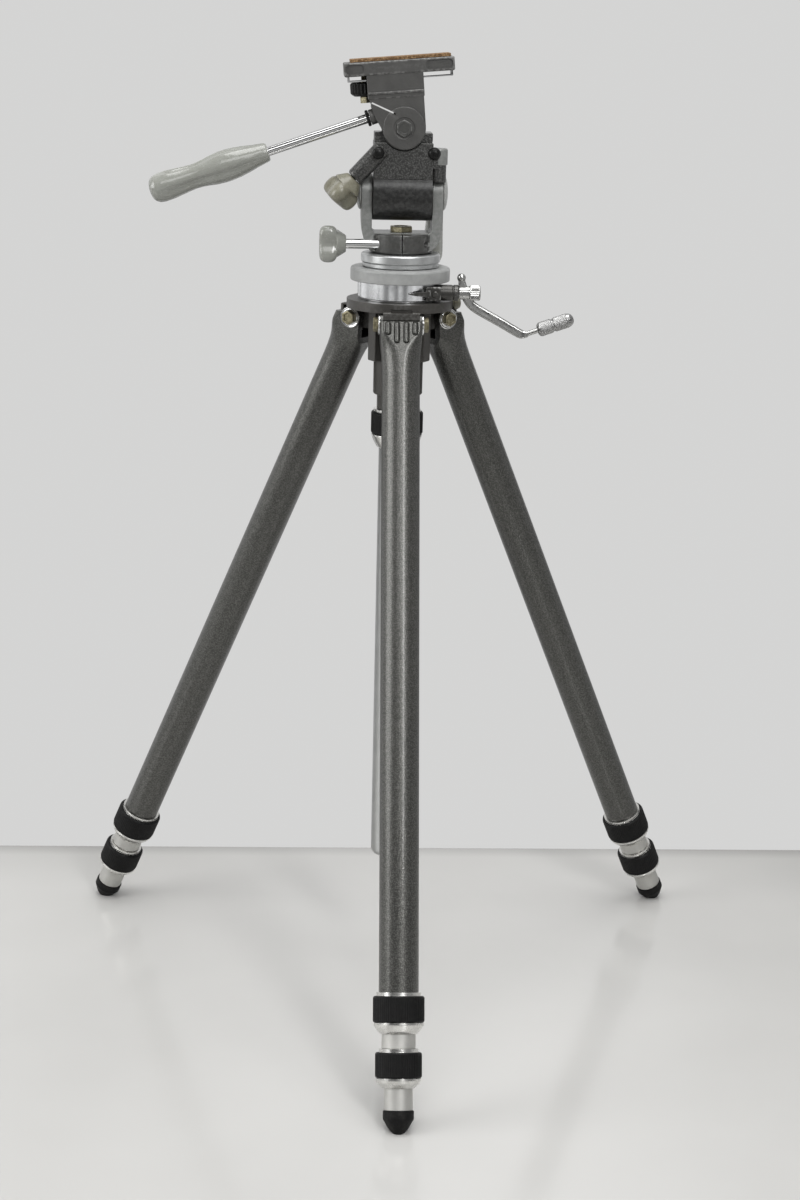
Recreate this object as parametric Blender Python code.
"""Table-height three-leg stand with a three-way head, rack column and crank.

Lengths in the constants are millimetres; meshes are written in metres.
Heights are above the floor. Plan positions are measured from the column
axis, and AXIS_Y moves the whole assembly so its bounding box is centred.
"""
import math

import bmesh
import bpy
from mathutils import Matrix, Vector

MM = 0.001
AXIS_Y = 78.11

# legs
SPLAY = math.radians(25.0)
HINGE_R = 38.0
HINGE_Z = 600.0
LEG_LENGTH = HINGE_Z / math.cos(SPLAY)
LEG_NAMES = ("front", "right", "left")
LEG_AZIMUTHS = (-90.0, 30.0, 150.0)
UPPER_R = 16.0
MIDDLE_R = 13.6
LOWER_R = 11.4
HEAD_END = 48.0
UPPER_END = 553.0
MIDDLE_END = 597.0
LOWER_END = 645.0
CHEEK_R = 9.2
BOLT_R = 3.9

# crown and column
COLUMN_R = 15.4
COLUMN_WALL = 2.9
COLUMN_BOTTOM = 109.0
BORE_R = 15.9
FLANGE_R = 45.4
FLANGE_Z0 = 609.5
FLANGE_Z1 = 617.5
HOUSING_R = 36.0
HOUSING_Z1 = 632.8
PLATE_R = 42.5
PLATE_Z0 = 633.1
PLATE_Z1 = 644.5

# rack and pinion
TOOTH = 1.2
PINION_TEETH = 10
PITCH_R = TOOTH * PINION_TEETH / 2.0
RACK_TIP_Y = -15.0
CRANK_Y = RACK_TIP_Y + TOOTH - PITCH_R - 0.25
CRANK_Z = 625.3
RACK_Z0 = 250.3

# head
PAN_Z = 656.5
ROLL_Z = 707.0
ROLLER_R = 23.5
TILT_Z = 761.0
TILT_REST = math.radians(5.0)
HANDLE_Y = -13.0
HANDLE_START = Vector((-24.2, HANDLE_Y, 770.2))
HANDLE_DIR = Vector((-0.9440, 0.0, -0.3300)).normalized()
KNOB_U = -29.7

SEG = 20


def clear_scene():
    """Remove whatever the start-up file holds."""
    for item in list(bpy.data.objects):
        bpy.data.objects.remove(item, do_unlink=True)


def make_material(name, colour, roughness, metallic):
    """One Principled material."""
    material = bpy.data.materials.new(name)
    material.use_nodes = True
    shader = material.node_tree.nodes["Principled BSDF"]
    shader.inputs["Base Color"].default_value = (*colour, 1.0)
    shader.inputs["Roughness"].default_value = roughness
    shader.inputs["Metallic"].default_value = metallic
    return material


FINISHES = {
    "hammertone": ((0.085, 0.085, 0.078), 0.42, 0.35),
    "head_casting": ((0.125, 0.125, 0.12), 0.5, 0.3),
    "dark_casting": ((0.05, 0.05, 0.047), 0.4, 0.3),
    "crown_casting": ((0.07, 0.068, 0.063), 0.45, 0.4),
    "light_casting": ((0.30, 0.31, 0.30), 0.42, 0.2),
    "turned_alloy": ((0.55, 0.56, 0.57), 0.25, 1.0),
    "tube_alloy": ((0.50, 0.51, 0.52), 0.3, 1.0),
    "chrome": ((0.70, 0.71, 0.72), 0.12, 1.0),
    "olive_brass": ((0.32, 0.29, 0.16), 0.4, 0.9),
    "black_rubber": ((0.012, 0.012, 0.012), 0.65, 0.0),
    "black_plastic": ((0.014, 0.014, 0.013), 0.4, 0.0),
    "grey_plastic": ((0.29, 0.295, 0.27), 0.22, 0.0),
    "aged_plastic": ((0.20, 0.19, 0.13), 0.35, 0.0),
    "cork": ((0.26, 0.15, 0.07), 0.85, 0.0),
    "steel": ((0.42, 0.42, 0.41), 0.3, 1.0),
}


def material_for(node, finish):
    """Material of one node, named after the node."""
    colour, roughness, metallic = FINISHES[finish]
    return make_material(node + "_" + finish, colour, roughness, metallic)


def circle(radius, count=SEG):
    """Points of a regular ring in the plane."""
    step = 2.0 * math.pi / count
    return [(radius * math.cos(i * step), radius * math.sin(i * step)) for i in range(count)]


def loft(rings):
    """Closed body through rings of equal point count, capped at both ends."""
    bm = bmesh.new()
    rows = [[bm.verts.new(point) for point in ring] for ring in rings]
    count = len(rings[0])
    for low, high in zip(rows, rows[1:]):
        for i in range(count):
            j = (i + 1) % count
            bm.faces.new((low[i], low[j], high[j], high[i]))
    bm.faces.new(list(reversed(rows[0])))
    bm.faces.new(rows[-1])
    bmesh.ops.recalc_face_normals(bm, faces=bm.faces)
    return bm


def turned(profile, count=SEG):
    """Solid of revolution about Z from (radius, z) stations, capped flat."""
    return loft([[(x, y, z) for x, y in circle(r, count)] for r, z in profile])


def sleeve(outer, inner, count=SEG):
    """Hollow turned body: outer stations down one way, inner ones back."""
    stations = list(outer) + list(reversed(inner))
    bm = bmesh.new()
    rows = [[bm.verts.new((x, y, z)) for x, y in circle(r, count)] for r, z in stations]
    for k, low in enumerate(rows):
        high = rows[(k + 1) % len(rows)]
        for i in range(count):
            j = (i + 1) % count
            bm.faces.new((low[i], low[j], high[j], high[i]))
    bmesh.ops.recalc_face_normals(bm, faces=bm.faces)
    return bm


def prism(outline, start, end, plane):
    """Extruded outline; plane names the two axes the outline lives in."""
    rings = []
    for depth in (start, end):
        if plane == "xz":
            rings.append([(a, depth, b) for a, b in outline])
        elif plane == "yz":
            rings.append([(depth, a, b) for a, b in outline])
        else:
            rings.append([(a, b, depth) for a, b in outline])
    return loft(rings)


def block(x0, x1, y0, y1, z0, z1):
    """Axis-aligned box."""
    return prism([(x0, y0), (x1, y0), (x1, y1), (x0, y1)], z0, z1, "xy")


def moved(bm, matrix):
    """Same body after a rigid move."""
    bmesh.ops.transform(bm, matrix=matrix, verts=bm.verts)
    return bm


def along(start, direction):
    """Rigid move taking +Z at the origin to a direction at a point."""
    turn = Vector(direction).to_track_quat("Z", "Y").to_matrix().to_4x4()
    return Matrix.Translation(Vector(start)) @ turn


def rod(start, end, radius, count=16):
    """Plain cylinder between two points."""
    span = Vector(end) - Vector(start)
    return moved(turned([(radius, 0.0), (radius, span.length)], count), along(start, span))


def temp_object(bm):
    """Mesh object for a Boolean, still in millimetres."""
    mesh = bpy.data.meshes.new("temp")
    bm.to_mesh(mesh)
    bm.free()
    item = bpy.data.objects.new("temp", mesh)
    bpy.context.scene.collection.objects.link(item)
    return item


def combine(body, tools, operation):
    """Exact Boolean of a body with several tools, one after the other."""
    base = temp_object(body)
    for tool in tools:
        other = temp_object(tool)
        step = base.modifiers.new("step", "BOOLEAN")
        step.operation = operation
        step.solver = "EXACT"
        step.object = other
        graph = bpy.context.evaluated_depsgraph_get()
        result = bpy.data.meshes.new_from_object(base.evaluated_get(graph))
        base.modifiers.remove(step)
        base.data = result
        bpy.data.objects.remove(other, do_unlink=True)
    bm = bmesh.new()
    bm.from_mesh(base.data)
    bpy.data.objects.remove(base, do_unlink=True)
    bmesh.ops.remove_doubles(bm, verts=bm.verts, dist=0.002)
    bmesh.ops.dissolve_degenerate(bm, edges=bm.edges, dist=0.002)
    return bm


def cut(body, *tools):
    """Body with the tools taken away."""
    return combine(body, tools, "DIFFERENCE")


def join(body, *tools):
    """Body with the tools added."""
    return combine(body, tools, "UNION")


def place(node, bm, finish, frame, smooth=True):
    """Write a body as a named object in metres on its own frame."""
    bmesh.ops.recalc_face_normals(bm, faces=bm.faces)
    bmesh.ops.scale(bm, vec=(MM, MM, MM), verts=bm.verts)
    mesh = bpy.data.meshes.new(node)
    bm.to_mesh(mesh)
    bm.free()
    mesh.materials.append(material_for(node, finish))
    item = bpy.data.objects.new(node, mesh)
    bpy.context.scene.collection.objects.link(item)
    item.matrix_world = frame
    if smooth:
        mesh.shade_smooth()
        mesh.set_sharp_from_angle(angle=math.radians(35.0))
    return item


def put(node, bm, finish, origin=(0.0, 0.0, 0.0), smooth=True):
    """Place a body drawn in column coordinates with its origin at a point."""
    origin = Vector(origin)
    moved(bm, Matrix.Translation(-origin))
    world = Matrix.Translation((origin + Vector((0.0, AXIS_Y, 0.0))) * MM)
    return place(node, bm, finish, world, smooth)


def leg_frame(azimuth):
    """Frame on a leg hinge: Z up the leg, X outwards, Y along the hinge bolt."""
    phi = math.radians(azimuth)
    point = Vector((HINGE_R * math.cos(phi), HINGE_R * math.sin(phi) + AXIS_Y, HINGE_Z)) * MM
    turn = Matrix.Rotation(phi, 4, "Z") @ Matrix.Rotation(-SPLAY, 4, "Y")
    return Matrix.Translation(point) @ turn


def oval_ring(half_x, half_y, power, z, count=SEG):
    """Ring between a circle (power 2) and a rounded box (higher power)."""
    points = []
    for i in range(count):
        angle = 2.0 * math.pi * (i + 0.5) / count
        c = math.cos(angle)
        s = math.sin(angle)
        x = half_x * math.copysign(abs(c) ** (2.0 / power), c)
        y = half_y * math.copysign(abs(s) ** (2.0 / power), s)
        points.append((x, y, z))
    return points


def rest_point(out, up):
    """Leg-frame point from an outward and upward offset off the hinge."""
    x = out * math.cos(SPLAY) + up * math.sin(SPLAY)
    z = up * math.cos(SPLAY) - out * math.sin(SPLAY)
    return (x, z)


def head_top_cutter():
    """Everything above the cheeks and the stop face of a leg head."""
    outline = [(-30.0, -21.0), (-15.5, -18.0)]
    for degrees in range(186, 30, -15):
        angle = math.radians(degrees)
        outline.append((CHEEK_R * math.cos(angle), CHEEK_R * math.sin(angle)))
    outline.append(rest_point(7.6, 4.7))
    outline.append(rest_point(30.0, 4.7))
    outline.append((30.0, 30.0))
    outline.append((-30.0, 30.0))
    return prism(outline, -25.0, 25.0, "xz")


def leg_head_body():
    """Forked casting at the top of a leg, with a spigot into the tube."""
    rings = [oval_ring(16.2, 17.5, 5.0, 14.0)]
    rings.append(oval_ring(16.2, 17.5, 5.0, -12.0))
    rings.append(oval_ring(16.3, 17.0, 3.2, -26.0))
    rings.append(oval_ring(16.4, 16.5, 2.2, -40.0))
    rings.append(oval_ring(16.35, 16.35, 2.0, -HEAD_END))
    rings.append(oval_ring(13.9, 13.9, 2.0, -HEAD_END))
    rings.append(oval_ring(13.9, 13.9, 2.0, -HEAD_END - 20.0))
    body = loft(rings)
    slot = block(-30.0, 9.9, -10.1, 10.1, -13.9, 30.0)
    bore = rod((0.0, -25.0, 0.0), (0.0, 25.0, 0.0), BOLT_R + 0.3)
    return cut(body, head_top_cutter(), slot, bore)


def hinge_bolt_body():
    """Shank with a washer and a hexagon at each end."""
    body = rod((0.0, -18.6, 0.0), (0.0, 18.6, 0.0), BOLT_R, 16)
    ends = []
    for side in (-1.0, 1.0):
        ends.append(rod((0.0, side * 17.85, 0.0), (0.0, side * 19.4, 0.0), 9.1, 20))
        ends.append(rod((0.0, side * 19.0, 0.0), (0.0, side * 23.4, 0.0), 6.3, 6))
    return join(body, *ends)


def upper_tube_body():
    """Top leg tube with its threaded lower end."""
    outer = [(UPPER_R, -HEAD_END - 0.3), (UPPER_R, -UPPER_END), (15.3, -UPPER_END), (15.3, -568.0)]
    inner = [(14.2, -HEAD_END - 0.3), (14.2, -568.0)]
    return sleeve(outer, inner)


def middle_tube_body():
    """Middle leg tube, reaching well up inside the top one."""
    outer = [(MIDDLE_R, -75.0), (MIDDLE_R, -MIDDLE_END), (13.0, -MIDDLE_END), (13.0, -608.0)]
    inner = [(12.0, -75.0), (12.0, -608.0)]
    return sleeve(outer, inner)


def lower_tube_body():
    """Bottom leg tube."""
    outer = [(LOWER_R, -95.0), (LOWER_R, -LOWER_END)]
    inner = [(9.9, -95.0), (9.9, -LOWER_END)]
    return sleeve(outer, inner)


def lock_body(start, ring_r, core_r, cone_r, nose_r, thread_r, bore_r, grip_len, cone_len):
    """Twist lock: end ring, core under the rubber, and tapered nose."""
    ring_end = start + 2.5
    grip_end = ring_end + 0.3 + grip_len
    nose_end = grip_end + 0.3 + cone_len
    outer = [(ring_r, -start), (ring_r, -ring_end), (core_r, -ring_end), (core_r, -grip_end - 0.3)]
    outer += [(cone_r, -grip_end - 0.3), (nose_r, -nose_end)]
    step = start + 15.7 if grip_len > 20.0 else start + 11.7
    inner = [(thread_r, -start), (thread_r, -step), (bore_r, -step), (bore_r, -nose_end)]
    return sleeve(outer, inner)


def lock_grip_body(start, inner_r, outer_r, length):
    """Rubber band around a twist lock."""
    top = -start - 2.8
    outer = [(outer_r - 1.0, top), (outer_r, top - 1.2), (outer_r, top - length + 1.2)]
    outer.append((outer_r - 1.0, top - length))
    inner = [(inner_r, top), (inner_r, top - length)]
    return sleeve(outer, inner)


def foot_body():
    """Rubber foot with a plug in the tube, worn flat where it meets the floor."""
    profile = [(9.6, -LOWER_END + 14.0), (9.6, -LOWER_END - 0.3), (12.5, -LOWER_END - 0.3)]
    profile += [(12.5, -652.0), (10.4, -657.0), (7.0, -661.0), (3.5, -664.5)]
    body = turned(profile)
    low = rest_point(-60.0, -HINGE_Z)
    high = rest_point(500.0, -HINGE_Z)
    deep_high = rest_point(500.0, -HINGE_Z - 60.0)
    deep_low = rest_point(-60.0, -HINGE_Z - 60.0)
    floor = prism([low, high, deep_high, deep_low], -40.0, 40.0, "xz")
    return cut(body, floor)


def build_leg(tag, azimuth):
    """All ten pieces of one leg."""
    frame = leg_frame(azimuth)
    place("leg_head_" + tag, leg_head_body(), "hammertone", frame)
    place("hinge_bolt_" + tag, hinge_bolt_body(), "steel", frame)
    place("upper_tube_" + tag, upper_tube_body(), "hammertone", frame)
    place("middle_tube_" + tag, middle_tube_body(), "tube_alloy", frame)
    place("lower_tube_" + tag, lower_tube_body(), "tube_alloy", frame)
    lock = lock_body(553.3, 17.5, 18.0, 20.0, 14.9, 15.6, 13.9, 20.9, 8.4)
    place("upper_lock_" + tag, lock, "turned_alloy", frame)
    place("upper_grip_" + tag, lock_grip_body(553.3, 18.3, 20.65, 20.9), "black_rubber", frame)
    lock = lock_body(597.3, 15.4, 15.8, 18.0, 12.6, 13.3, 11.7, 20.0, 7.6)
    place("lower_lock_" + tag, lock, "turned_alloy", frame)
    place("lower_grip_" + tag, lock_grip_body(597.3, 16.1, 18.7, 20.0), "black_rubber", frame)
    place("foot_" + tag, foot_body(), "black_rubber", frame)


def tongue_outline():
    """Radial section of the lug a leg head pivots on."""
    outline = [(19.0, 590.5), (HINGE_R, 590.5)]
    for degrees in range(-75, 31, 15):
        angle = math.radians(degrees)
        outline.append((HINGE_R + 9.5 * math.cos(angle), HINGE_Z + 9.5 * math.sin(angle)))
    outline += [(46.2, 611.0), (19.0, 611.0)]
    return outline


def stop_outline():
    """Radial section of the stop lip in front of a leg head."""
    points = [(41.0, 609.9), (46.2, 609.9), (46.2, 605.0), (49.0, 605.0)]
    points += [(49.0, 610.4), (46.0, 613.5), (41.0, 613.5)]
    return points


def crown_body():
    """Spider casting: flange, hub, three lugs, three webs, neck and sleeve."""
    outer = [(44.4, FLANGE_Z1), (FLANGE_R, FLANGE_Z1 - 1.0), (FLANGE_R, FLANGE_Z0), (21.3, FLANGE_Z0)]
    outer += [(21.3, 536.0), (20.6, 535.0), (17.9, 535.0), (17.9, 522.3), (17.0, 522.3), (17.0, 506.0)]
    inner = [(BORE_R, FLANGE_Z1), (BORE_R, 506.0)]
    body = sleeve(outer, inner, 36)
    tools = []
    bores = []
    for azimuth in LEG_AZIMUTHS:
        turn = Matrix.Rotation(math.radians(azimuth), 4, "Z")
        tools.append(moved(prism(tongue_outline(), -9.7, 9.7, "xz"), turn))
        tools.append(moved(prism(stop_outline(), -15.5, 15.5, "xz"), turn))
        web = Matrix.Rotation(math.radians(azimuth + 60.0), 4, "Z")
        tools.append(moved(block(18.5, 27.7, -6.0, 6.0, 565.0, 611.0), web))
        bore = rod((HINGE_R, -25.0, HINGE_Z), (HINGE_R, 25.0, HINGE_Z), BOLT_R + 0.3)
        bores.append(moved(bore, turn))
    bores.append(block(-9.0, 9.0, -60.0, -43.6, 610.6, 613.4))
    return cut(join(body, *tools), *bores)


def housing_body():
    """Turned gear case with a pocket for the pinion and a bore for its shaft."""
    outer = [(HOUSING_R - 0.6, HOUSING_Z1), (HOUSING_R, HOUSING_Z1 - 0.6), (HOUSING_R, 617.8)]
    inner = [(BORE_R, HOUSING_Z1), (BORE_R, 617.8)]
    body = sleeve(outer, inner, 40)
    pocket = block(-4.6, 4.6, -28.2, -12.0, 600.0, 650.0)
    shaft = rod((-12.0, CRANK_Y, CRANK_Z), (50.0, CRANK_Y, CRANK_Z), 3.4)
    return cut(body, pocket, shaft)


def bearing_body():
    """Barrel the crank shaft turns in, its clamp block and the small blade on it."""
    barrel = rod((27.0, CRANK_Y, CRANK_Z), (48.9, CRANK_Y, CRANK_Z), 6.75, 24)
    clamp = block(21.0, 33.5, -33.5, -16.0, 619.3, 631.3)
    blade = prism([(5.5, 625.2), (24.0, 623.6), (24.0, 628.0), (8.0, 626.4)], -37.9, -36.7, "xz")
    link = block(20.5, 24.5, -37.9, -31.0, 622.5, 629.0)
    body = join(barrel, clamp, link, blade)
    clearance = turned([(HOUSING_R + 0.3, 590.0), (HOUSING_R + 0.3, 660.0)], 40)
    hole = rod((10.0, CRANK_Y, CRANK_Z), (60.0, CRANK_Y, CRANK_Z), 3.4)
    return cut(body, clearance, hole)


def tooth_wheel(count, points_per_tooth):
    """Outline of a wheel from one tooth given as (angle fraction, radius)."""
    outline = []
    for k in range(count):
        for share, radius in points_per_tooth:
            angle = 2.0 * math.pi * (k + share) / count
            outline.append((radius * math.cos(angle), radius * math.sin(angle)))
    return outline


def pinion_body():
    """Crank shaft with its pinion."""
    tooth = [(-0.27, 4.55), (-0.15, 5.9), (-0.06, 7.0), (0.06, 7.0), (0.15, 5.9), (0.27, 4.55)]
    wheel = prism(tooth_wheel(PINION_TEETH, tooth), -2.6, 2.6, "yz")
    moved(wheel, Matrix.Translation((0.0, CRANK_Y, CRANK_Z)))
    shaft = rod((-11.0, CRANK_Y, CRANK_Z), (63.0, CRANK_Y, CRANK_Z), 3.0)
    return join(wheel, shaft)


def rack_body():
    """Toothed bar let into the front of the column, teeth flush with the tube."""
    pitch = math.pi * TOOTH
    back = RACK_TIP_Y + 4.2
    root = RACK_TIP_Y + 2.7
    top = 632.4
    outline = [(back, top), (back, RACK_Z0), (RACK_TIP_Y, RACK_Z0), (RACK_TIP_Y, RACK_Z0 + 5.0)]
    lowest = int((RACK_Z0 + 9.0 - CRANK_Z) / pitch)
    highest = int((top - 2.0 - CRANK_Z) / pitch)
    for k in range(lowest, highest + 1):
        gap = CRANK_Z + k * pitch
        outline.append((RACK_TIP_Y, gap - 0.42 * pitch))
        outline.append((root, gap - 0.26 * pitch))
        outline.append((root, gap + 0.26 * pitch))
        outline.append((RACK_TIP_Y, gap + 0.42 * pitch))
    outline.append((RACK_TIP_Y, top))
    return prism(outline, -2.9, 2.9, "yz")


def column_tube_body():
    """Rise tube, slotted down its front for the rack and domed at the foot."""
    inside = COLUMN_R - COLUMN_WALL
    outer = [(COLUMN_R, 640.0), (COLUMN_R, 114.0), (13.8, 110.6), (11.0, COLUMN_BOTTOM)]
    inner = [(inside, 640.0), (inside, 118.0), (8.0, COLUMN_BOTTOM)]
    body = sleeve(outer, inner, 32)
    slot = block(-3.2, 3.2, -20.0, -6.0, RACK_Z0 - 0.3, 632.7)
    return cut(body, slot)


def top_plate_body():
    """Light ring plate carried on top of the column."""
    body = turned([(PLATE_R, PLATE_Z0), (PLATE_R, PLATE_Z1 - 1.4), (41.3, PLATE_Z1)], 40)
    socket = turned([(COLUMN_R + 0.3, PLATE_Z0 - 2.0), (COLUMN_R + 0.3, 640.3)], 32)
    return cut(body, socket)


def pan_base_body():
    """Turned disc, post and stud the head turns on."""
    low = PLATE_Z1 + 0.3
    profile = [(32.4, low), (33.7, low + 1.2), (33.7, 655.0), (32.0, PAN_Z), (14.0, PAN_Z)]
    profile += [(14.0, 668.0), (6.0, 668.0), (6.0, 677.0)]
    return turned(profile, 32)


def head_nut_body():
    """Low hexagon nut on the stud."""
    hexagon = turned([(10.4, 674.3), (10.4, 678.0), (9.4, 678.9)], 6)
    bore = turned([(6.3, 670.0), (6.3, 677.3)], 20)
    return cut(hexagon, bore)


def column_lock_body():
    """Twist lock of the column."""
    outer = [(20.5, 522.0), (20.5, 519.8), (19.8, 519.8), (19.8, 500.0), (22.0, 500.0), (16.9, 488.0)]
    inner = [(17.3, 522.0), (17.3, 505.6), (BORE_R, 505.6), (BORE_R, 488.0)]
    return sleeve(outer, inner, 32)


def column_grip_body():
    """Rubber band of the column lock."""
    outer = [(21.6, 519.5), (22.6, 518.3), (22.6, 501.5), (21.6, 500.3)]
    inner = [(20.1, 519.5), (20.1, 500.3)]
    return sleeve(outer, inner, 32)


def column_knob_body():
    """Small domed friction knob at the side of the crown."""
    profile = [(3.0, 45.8), (3.0, 47.0), (5.0, 47.0), (5.2, 50.0), (3.8, 52.2), (1.5, 53.0)]
    return moved(turned(profile, 16), Matrix.Translation((0.0, 3.0, 613.6)) @ Matrix.Rotation(math.pi / 2, 4, "Y"))


def arm_section(point, tangent, width, depth, count=12):
    """Rounded section of the crank arm, square to the way it runs."""
    side = Vector((-tangent.z, 0.0, tangent.x))
    ring = []
    for i in range(count):
        angle = 2.0 * math.pi * i / count
        c = math.cos(angle)
        s = math.sin(angle)
        a = width * math.copysign(abs(c) ** 0.6, c)
        b = depth * math.copysign(abs(s) ** 0.6, s)
        ring.append(tuple(point + side * a + Vector((0.0, b, 0.0))))
    return ring


def crank_arm_body():
    """Bent arm with its ball end, hub, knurled nut and grip pin."""
    path = [(51.2, 641.0), (51.5, 638.0), (54.5, 625.3), (58.0, 616.5), (65.5, 608.6)]
    path += [(84.0, 600.0), (102.0, 591.6), (106.0, 590.6), (109.5, 591.0)]
    sizes = [(1.6, 1.6), (3.6, 3.0), (3.7, 2.8), (3.8, 2.6), (4.0, 2.5), (4.0, 2.5), (3.9, 2.5)]
    sizes += [(3.2, 2.4), (2.4, 2.2)]
    points = [Vector((x, CRANK_Y, z)) for x, z in path]
    rings = []
    for k, point in enumerate(points):
        ahead = points[min(k + 1, len(points) - 1)]
        behind = points[max(k - 1, 0)]
        tangent = (ahead - behind).normalized()
        rings.append(arm_section(point, tangent, *sizes[k]))
    hub = rod((49.3, CRANK_Y, CRANK_Z), (58.4, CRANK_Y, CRANK_Z), 5.6, 20)
    nut = rod((58.0, CRANK_Y, CRANK_Z), (67.5, CRANK_Y, CRANK_Z), 6.3, 20)
    pin_start = Vector((106.5, CRANK_Y, 590.6))
    pin = rod(pin_start, pin_start + grip_direction() * 26.0, 2.2)
    body = join(loft(rings), hub, nut, pin)
    bore = rod((40.0, CRANK_Y, CRANK_Z), (63.4, CRANK_Y, CRANK_Z), 3.3)
    return cut(body, bore)


def grip_direction():
    """Way the crank grip points."""
    return Vector((math.cos(math.radians(19.5)), 0.0, math.sin(math.radians(19.5))))


def crank_grip_body():
    """Two-part knurled grip turning on the pin."""
    profile = [(3.6, 11.6), (5.4, 13.0), (6.1, 14.0), (6.1, 24.0), (5.4, 24.8), (5.4, 26.0)]
    profile += [(6.1, 26.8), (6.1, 38.0), (4.6, 42.0), (2.0, 43.8)]
    body = turned(profile, 20)
    body = cut(body, turned([(2.5, 5.0), (2.5, 27.0)], 16))
    start = Vector((106.5, CRANK_Y, 590.6))
    return moved(body, along(start, grip_direction()))


def yoke_body():
    """Fork with a split clamp ring at its foot."""
    right = [(34.5, ROLL_Z), (34.5, 686.0), (34.0, 676.0), (31.5, 667.0), (27.0, 660.5), (22.0, 657.0)]
    left = [(-x, z) for x, z in reversed(right)]
    inside = [(-25.4, ROLL_Z), (-25.4, 676.5), (-23.0, 674.0), (23.0, 674.0), (25.4, 676.5), (25.4, ROLL_Z)]
    fork = prism(right + left + inside, -15.0, 15.0, "xz")
    ends = []
    for side in (-1.0, 1.0):
        ends.append(rod((side * 25.4, 0.0, ROLL_Z), (side * 34.5, 0.0, ROLL_Z), 15.0, 32))
    ring = turned([(26.0, 657.0), (27.0, 658.0), (27.0, 673.0), (26.0, 674.0)], 36)
    body = join(fork, ring, *ends)
    post = turned([(14.3, 650.0), (14.3, 668.3)], 28)
    stud = turned([(6.4, 650.0), (6.4, 690.0)], 20)
    split = block(-0.6, 0.6, -40.0, -8.0, 650.0, 680.0)
    axle = rod((-50.0, 0.0, ROLL_Z), (50.0, 0.0, ROLL_Z), 5.2, 20)
    screw = rod((-50.0, -15.0, 664.6), (-11.5, -15.0, 664.6), 4.5)
    hole = rod((14.0, -17.0, 665.0), (50.0, -17.0, 665.0), 2.2, 12)
    socket = rod((30.0, 7.0, 700.0), (30.0, 20.0, 700.0), 3.6, 16)
    return cut(body, post, stud, split, axle, screw, hole, socket)


def roll_axle_body():
    """Axle through the yoke and roller with a domed cap at each end."""
    body = rod((-35.5, 0.0, ROLL_Z), (35.5, 0.0, ROLL_Z), 4.9, 20)
    caps = []
    for side in (-1.0, 1.0):
        cap = turned([(14.8, 34.8), (14.8, 35.8), (12.0, 37.4), (7.0, 38.5), (2.0, 38.9)], 28)
        turn = Matrix.Translation((0.0, 0.0, ROLL_Z)) @ Matrix.Rotation(side * math.pi / 2, 4, "Y")
        caps.append(moved(cap, turn))
    return join(body, *caps)


def roller_body():
    """Barrel between the yoke arms with the tilt tongue above it."""
    barrel = rod((-24.9, 0.0, ROLL_Z), (24.9, 0.0, ROLL_Z), ROLLER_R, 40)
    neck = block(-24.4, 24.4, -20.4, 20.4, ROLL_Z, 749.0)
    tongue = block(-24.4, 24.4, -13.2, 13.2, ROLL_Z, 757.0)
    boss_dir = Vector((-0.682, 0.0, -0.731))
    boss_start = Vector((-18.0, -18.0, 743.6))
    boss = rod(boss_start, boss_start + boss_dir * 33.2, 7.6, 24)
    lug = turned([(6.6, 717.0), (6.6, 731.0), (7.6, 731.0), (7.6, 743.6), (6.6, 744.8)], 24)
    moved(lug, Matrix.Translation((29.6, -12.6, 0.0)))
    lug = cut(lug, rod((24.95, 0.0, ROLL_Z), (45.0, 0.0, ROLL_Z), 16.2, 32))
    bridge = block(20.0, 29.6, -20.2, -5.2, 728.0, 743.6)
    screws = []
    for x in (-21.5, 25.6):
        head = turned([(5.2, 0.0), (5.2, 1.2), (4.0, 3.6), (1.8, 4.9)], 16)
        depth = 25.4 if x < 0.0 else 20.0
        turn = Matrix.Translation((x, -depth + 0.6, 740.6)) @ Matrix.Rotation(math.pi / 2, 4, "X")
        screws.append(moved(head, turn))
    body = join(barrel, neck, tongue, boss, lug, bridge, *screws)
    front = rod((0.0, -13.2, TILT_Z), (0.0, -40.0, TILT_Z), 19.0, 36)
    rear = rod((0.0, 13.2, TILT_Z), (0.0, 40.0, TILT_Z), 19.0, 36)
    axle = rod((-50.0, 0.0, ROLL_Z), (50.0, 0.0, ROLL_Z), 5.2, 20)
    tilt = rod((0.0, -50.0, TILT_Z), (0.0, 50.0, TILT_Z), 4.4, 20)
    screw_end = boss_start + boss_dir * 40.0
    socket = rod(boss_start + boss_dir * 14.0, screw_end, 3.3, 12)
    return cut(body, front, rear, axle, tilt, socket)


def lobed_ring(low, high, z, lobes=3, count=30):
    """Outline of a hand knob."""
    ring = []
    for i in range(count):
        angle = 2.0 * math.pi * i / count
        radius = low + (high - low) * (0.5 + 0.5 * math.cos(lobes * angle)) ** 0.8
        ring.append((radius * math.cos(angle), radius * math.sin(angle), z))
    return ring


def hand_knob(start, hub_end, end, stem_r, hub_r, low, high):
    """Three-lobed knob with a tapered hub, drawn up the Z axis."""
    rings = [[(x, y, start) for x, y in circle(stem_r, 30)]]
    rings.append([(x, y, hub_end) for x, y in circle(hub_r, 30)])
    rings.append(lobed_ring(low * 0.93, high * 0.90, hub_end + 0.4))
    rings.append(lobed_ring(low, high, hub_end + 2.4))
    rings.append(lobed_ring(low, high, end - 3.0))
    rings.append(lobed_ring(low * 0.9, high * 0.88, end - 0.6))
    rings.append(lobed_ring(low * 0.6, high * 0.6, end))
    return loft(rings)


def roll_knob_body():
    """Friction knob under the angled boss."""
    knob = hand_knob(0.6, 11.0, 25.5, 6.4, 9.2, 11.5, 16.8)
    stem = turned([(3.0, -14.0), (3.0, 3.0)], 16)
    body = join(knob, stem)
    start = Vector((-18.0, -18.0, 743.6)) + Vector((-0.682, 0.0, -0.731)) * 33.2
    return moved(body, along(start, (-0.682, 0.0, -0.731)))


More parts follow.
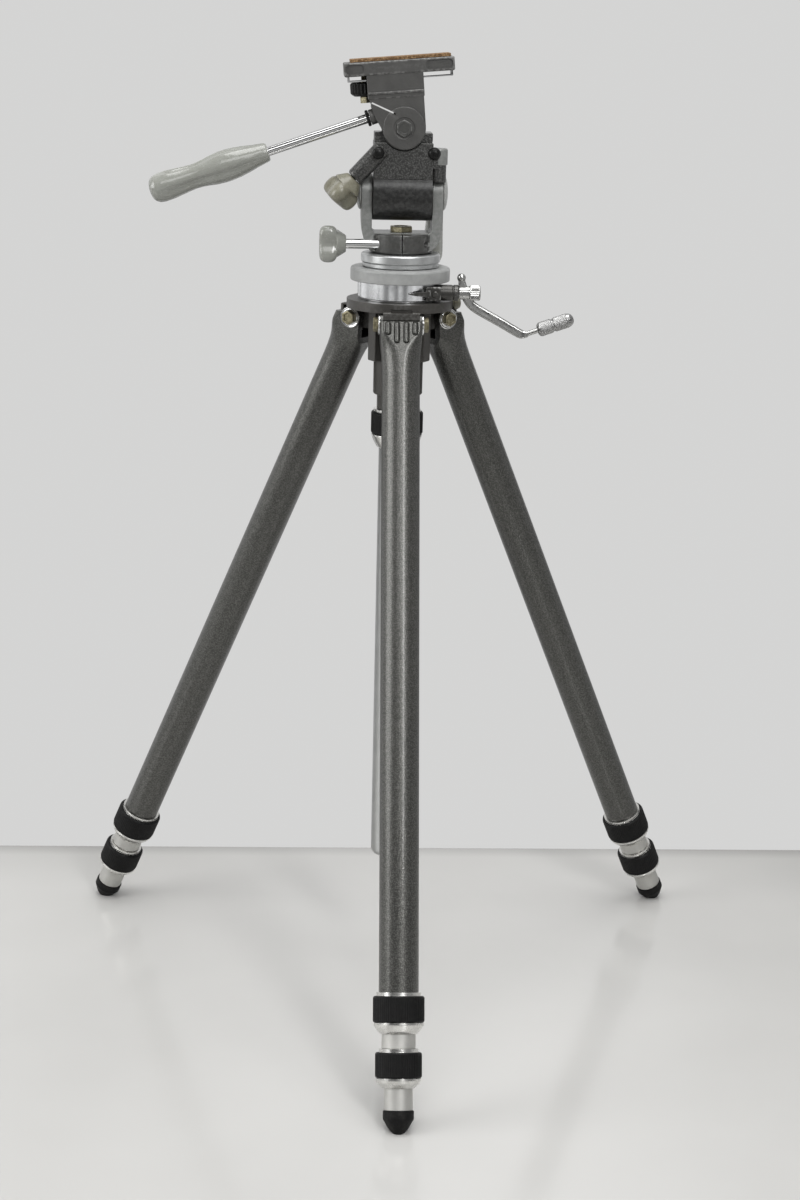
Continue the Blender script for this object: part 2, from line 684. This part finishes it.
def pan_rod_body():
    """Chrome screw of the pan lock."""
    return rod((-56.0, -15.0, 664.6), (-13.0, -15.0, 664.6), 4.2, 20)


def pan_knob_body():
    """Hand knob of the pan lock."""
    knob = hand_knob(0.0, 7.5, 22.8, 8.4, 10.0, 12.0, 17.0)
    knob = cut(knob, turned([(4.5, -5.0), (4.5, 9.5)], 20))
    return moved(knob, along((-46.8, -15.0, 664.6), (-1.0, 0.0, 0.0)))


def side_direction():
    """Way the side handle hangs."""
    return Vector((0.006, 0.62, -0.78)).normalized()


def side_rod_body():
    """Stem and bent rod of the side handle."""
    stem = rod((30.0, 8.0, 700.0), (30.0, 19.0, 700.0), 3.3)
    start = Vector((30.0, 19.0, 700.0)) - side_direction() * 1.0
    bar = rod(start, start + side_direction() * 40.0, 3.3)
    corner = moved(turned([(3.4, -3.4), (3.4, 3.4)], 16), Matrix.Translation((30.0, 19.0, 700.0)))
    return join(bar, stem, corner)


def side_grip_body():
    """Plastic grip of the side handle."""
    profile = [(5.6, 14.0), (6.8, 15.5), (8.0, 40.0), (8.9, 58.0), (8.9, 66.0), (7.0, 71.0), (3.0, 73.0)]
    body = cut(turned(profile, 24), turned([(3.7, 5.0), (3.7, 44.0)], 16))
    return moved(body, along((30.0, 19.0, 700.0), side_direction()))


def tilted(bm):
    """Move a body drawn along the camera platform into its rest tilt."""
    turn = Matrix.Translation((0.0, 0.0, TILT_Z)) @ Matrix.Rotation(-TILT_REST, 4, "Y")
    return moved(bm, turn)


def tilt_block_body():
    """Camera platform, body block and the two cheeks of the tilt hinge."""
    plate = block(-46.7, 45.0, -22.0, 22.0, 50.2, 55.3)
    under = block(-46.0, 44.4, -21.0, 21.0, 44.0, 50.6)
    core = block(-28.4, 18.6, -21.4, 21.4, 25.0, 51.0)
    outline = [(-27.5, 26.0), (-24.5, 12.0)]
    for degrees in range(184, 361, 16):
        angle = math.radians(degrees)
        outline.append((18.0 * math.cos(angle), 18.0 * math.sin(angle)))
    outline.append((18.0, 26.0))
    front = prism(outline, -21.0, -13.5, "xz")
    rear = prism(outline, 13.5, 21.0, "xz")
    body = join(core, under, plate, front, rear)
    tunnel = block(-60.0, 60.0, -8.0, 8.0, 38.2, 45.8)
    well = moved(turned([(13.2, 10.0), (13.2, 44.6)], 28), Matrix.Translation((KNOB_U, 0.0, 0.0)))
    hole = moved(turned([(3.6, 40.0), (3.6, 60.0)], 16), Matrix.Translation((KNOB_U, 0.0, 0.0)))
    bolt = rod((0.0, -50.0, 0.0), (0.0, 50.0, 0.0), 4.4, 20)
    body = tilted(cut(body, tunnel, well, hole, bolt))
    boss = rod(HANDLE_START - HANDLE_DIR * 5.0, HANDLE_START + HANDLE_DIR * 4.6, 6.4, 20)
    bore = rod(HANDLE_START - HANDLE_DIR * 3.6, HANDLE_START + HANDLE_DIR * 9.0, 4.3)
    return cut(join(body, boss), bore)


def cork_body():
    """Cork pad on the platform."""
    pad = prism([(-41.0, -19.5), (42.5, -19.5), (42.5, 19.5), (-41.0, 19.5)], 55.6, 57.8, "xy")
    hole = moved(turned([(4.0, 50.0), (4.0, 60.0)], 16), Matrix.Translation((KNOB_U, 0.0, 0.0)))
    return tilted(cut(pad, hole))


def strip_body():
    """Sprung strip under the platform that keeps the camera screw."""
    bar = block(-44.2, 44.0, -7.0, 7.0, 39.2, 40.8)
    left = block(-44.2, -42.4, -7.0, 7.0, 39.6, 45.5)
    right = block(42.2, 44.0, -7.0, 7.0, 39.6, 45.5)
    hole = moved(turned([(3.6, 35.0), (3.6, 50.0)], 16), Matrix.Translation((KNOB_U, 0.0, 0.0)))
    return tilted(cut(join(bar, left, right), hole))


def camera_knob_body():
    """Ribbed knob of the camera screw."""
    outer = [(11.2, 38.8), (12.6, 37.4), (12.6, 30.0), (10.2, 27.4)]
    inner = [(3.4, 38.8), (3.4, 27.4)]
    body = moved(sleeve(outer, inner, 24), Matrix.Translation((KNOB_U, 0.0, 0.0)))
    return tilted(body)


def camera_screw_body():
    """Screw with a hexagon foot, standing just under the cork surface."""
    stem = turned([(5.4, 21.8), (5.4, 27.1), (3.1, 27.1), (3.1, 56.6)], 6)
    thread = turned([(3.1, 26.0), (3.1, 57.0)], 16)
    body = join(stem, thread)
    return tilted(moved(body, Matrix.Translation((KNOB_U, 0.0, 0.0))))


def tilt_bolt_body():
    """Cross bolt of the tilt hinge with a low head each side."""
    body = rod((0.0, -22.0, TILT_Z), (0.0, 22.0, TILT_Z), 4.1, 20)
    heads = []
    for side in (-1.0, 1.0):
        heads.append(rod((0.0, side * 21.3, TILT_Z), (0.0, side * 23.6, TILT_Z), 7.2, 24))
    return join(body, *heads)


def handle_rod_body():
    """Handle rod with its serrated collar."""
    bar = rod(HANDLE_START - HANDLE_DIR * 3.2, HANDLE_START + HANDLE_DIR * 130.0, 4.0, 20)
    collar = rod(HANDLE_START + HANDLE_DIR * 4.9, HANDLE_START + HANDLE_DIR * 7.6, 6.8, 24)
    return join(bar, collar)


def handle_grip_body():
    """Moulded grip of the main handle."""
    profile = [(6.6, 94.0), (7.8, 95.2), (9.6, 106.0), (12.4, 121.0), (13.2, 132.0), (12.4, 142.0)]
    profile += [(10.4, 153.0), (10.2, 160.0), (11.4, 172.0), (12.3, 184.0), (11.6, 192.0), (8.4, 196.2)]
    profile.append((3.4, 198.0))
    body = cut(turned(profile, 28), turned([(4.3, 80.0), (4.3, 134.0)], 20))
    return moved(body, along(HANDLE_START, HANDLE_DIR))


def build_centre():
    """Crown, gear case, crank, column and column lock."""
    put("crown", crown_body(), "crown_casting")
    put("gear_housing", housing_body(), "turned_alloy")
    put("crank_bearing", bearing_body(), "dark_casting")
    crank_at = (55.0, CRANK_Y, CRANK_Z)
    put("crank_pinion", pinion_body(), "steel", crank_at)
    put("crank_arm", crank_arm_body(), "chrome", crank_at)
    put("crank_grip", crank_grip_body(), "chrome", (106.5, CRANK_Y, 590.6))
    put("column_tube", column_tube_body(), "tube_alloy")
    put("column_rack", rack_body(), "steel")
    put("top_plate", top_plate_body(), "light_casting")
    put("pan_base", pan_base_body(), "turned_alloy")
    put("head_nut", head_nut_body(), "olive_brass", (0.0, 0.0, 676.0))
    put("column_lock", column_lock_body(), "turned_alloy", (0.0, 0.0, 505.0))
    put("column_grip", column_grip_body(), "black_rubber", (0.0, 0.0, 505.0))
    put("column_knob", column_knob_body(), "aged_plastic", (48.0, 3.0, 613.6))


def build_head():
    """Three-way head from the yoke up."""
    roll_at = (0.0, 0.0, ROLL_Z)
    tilt_at = (0.0, 0.0, TILT_Z)
    put("yoke", yoke_body(), "light_casting", (0.0, 0.0, PAN_Z))
    put("roll_axle", roll_axle_body(), "light_casting", roll_at)
    put("pan_lock_rod", pan_rod_body(), "chrome", (-40.0, -15.0, 664.6))
    put("pan_lock_knob", pan_knob_body(), "grey_plastic", (-40.0, -15.0, 664.6))
    put("side_handle_rod", side_rod_body(), "chrome", (30.0, 19.0, 700.0))
    put("side_handle_grip", side_grip_body(), "grey_plastic", (30.0, 19.0, 700.0))
    put("roller", roller_body(), "dark_casting", roll_at)
    knob_at = Vector((-18.0, -18.0, 743.6)) + Vector((-0.682, 0.0, -0.731)) * 33.2
    put("roll_knob", roll_knob_body(), "aged_plastic", knob_at)
    put("tilt_bolt", tilt_bolt_body(), "head_casting", tilt_at)
    put("tilt_block", tilt_block_body(), "head_casting", tilt_at)
    put("cork_pad", cork_body(), "cork", tilt_at)
    put("slide_strip", strip_body(), "chrome", tilt_at)
    put("camera_knob", camera_knob_body(), "black_plastic", screw_point())
    put("camera_screw", camera_screw_body(), "olive_brass", screw_point())
    put("handle_rod", handle_rod_body(), "chrome", HANDLE_START)
    put("handle_grip", handle_grip_body(), "grey_plastic", HANDLE_START)


def screw_point():
    """A point on the camera screw axis."""
    c = math.cos(TILT_REST)
    s = math.sin(TILT_REST)
    return (KNOB_U * c - 33.0 * s, 0.0, TILT_Z + KNOB_U * s + 33.0 * c)


def main():
    """Build every piece."""
    clear_scene()
    for tag, azimuth in zip(LEG_NAMES, LEG_AZIMUTHS):
        build_leg(tag, azimuth)
    build_centre()
    build_head()


main()
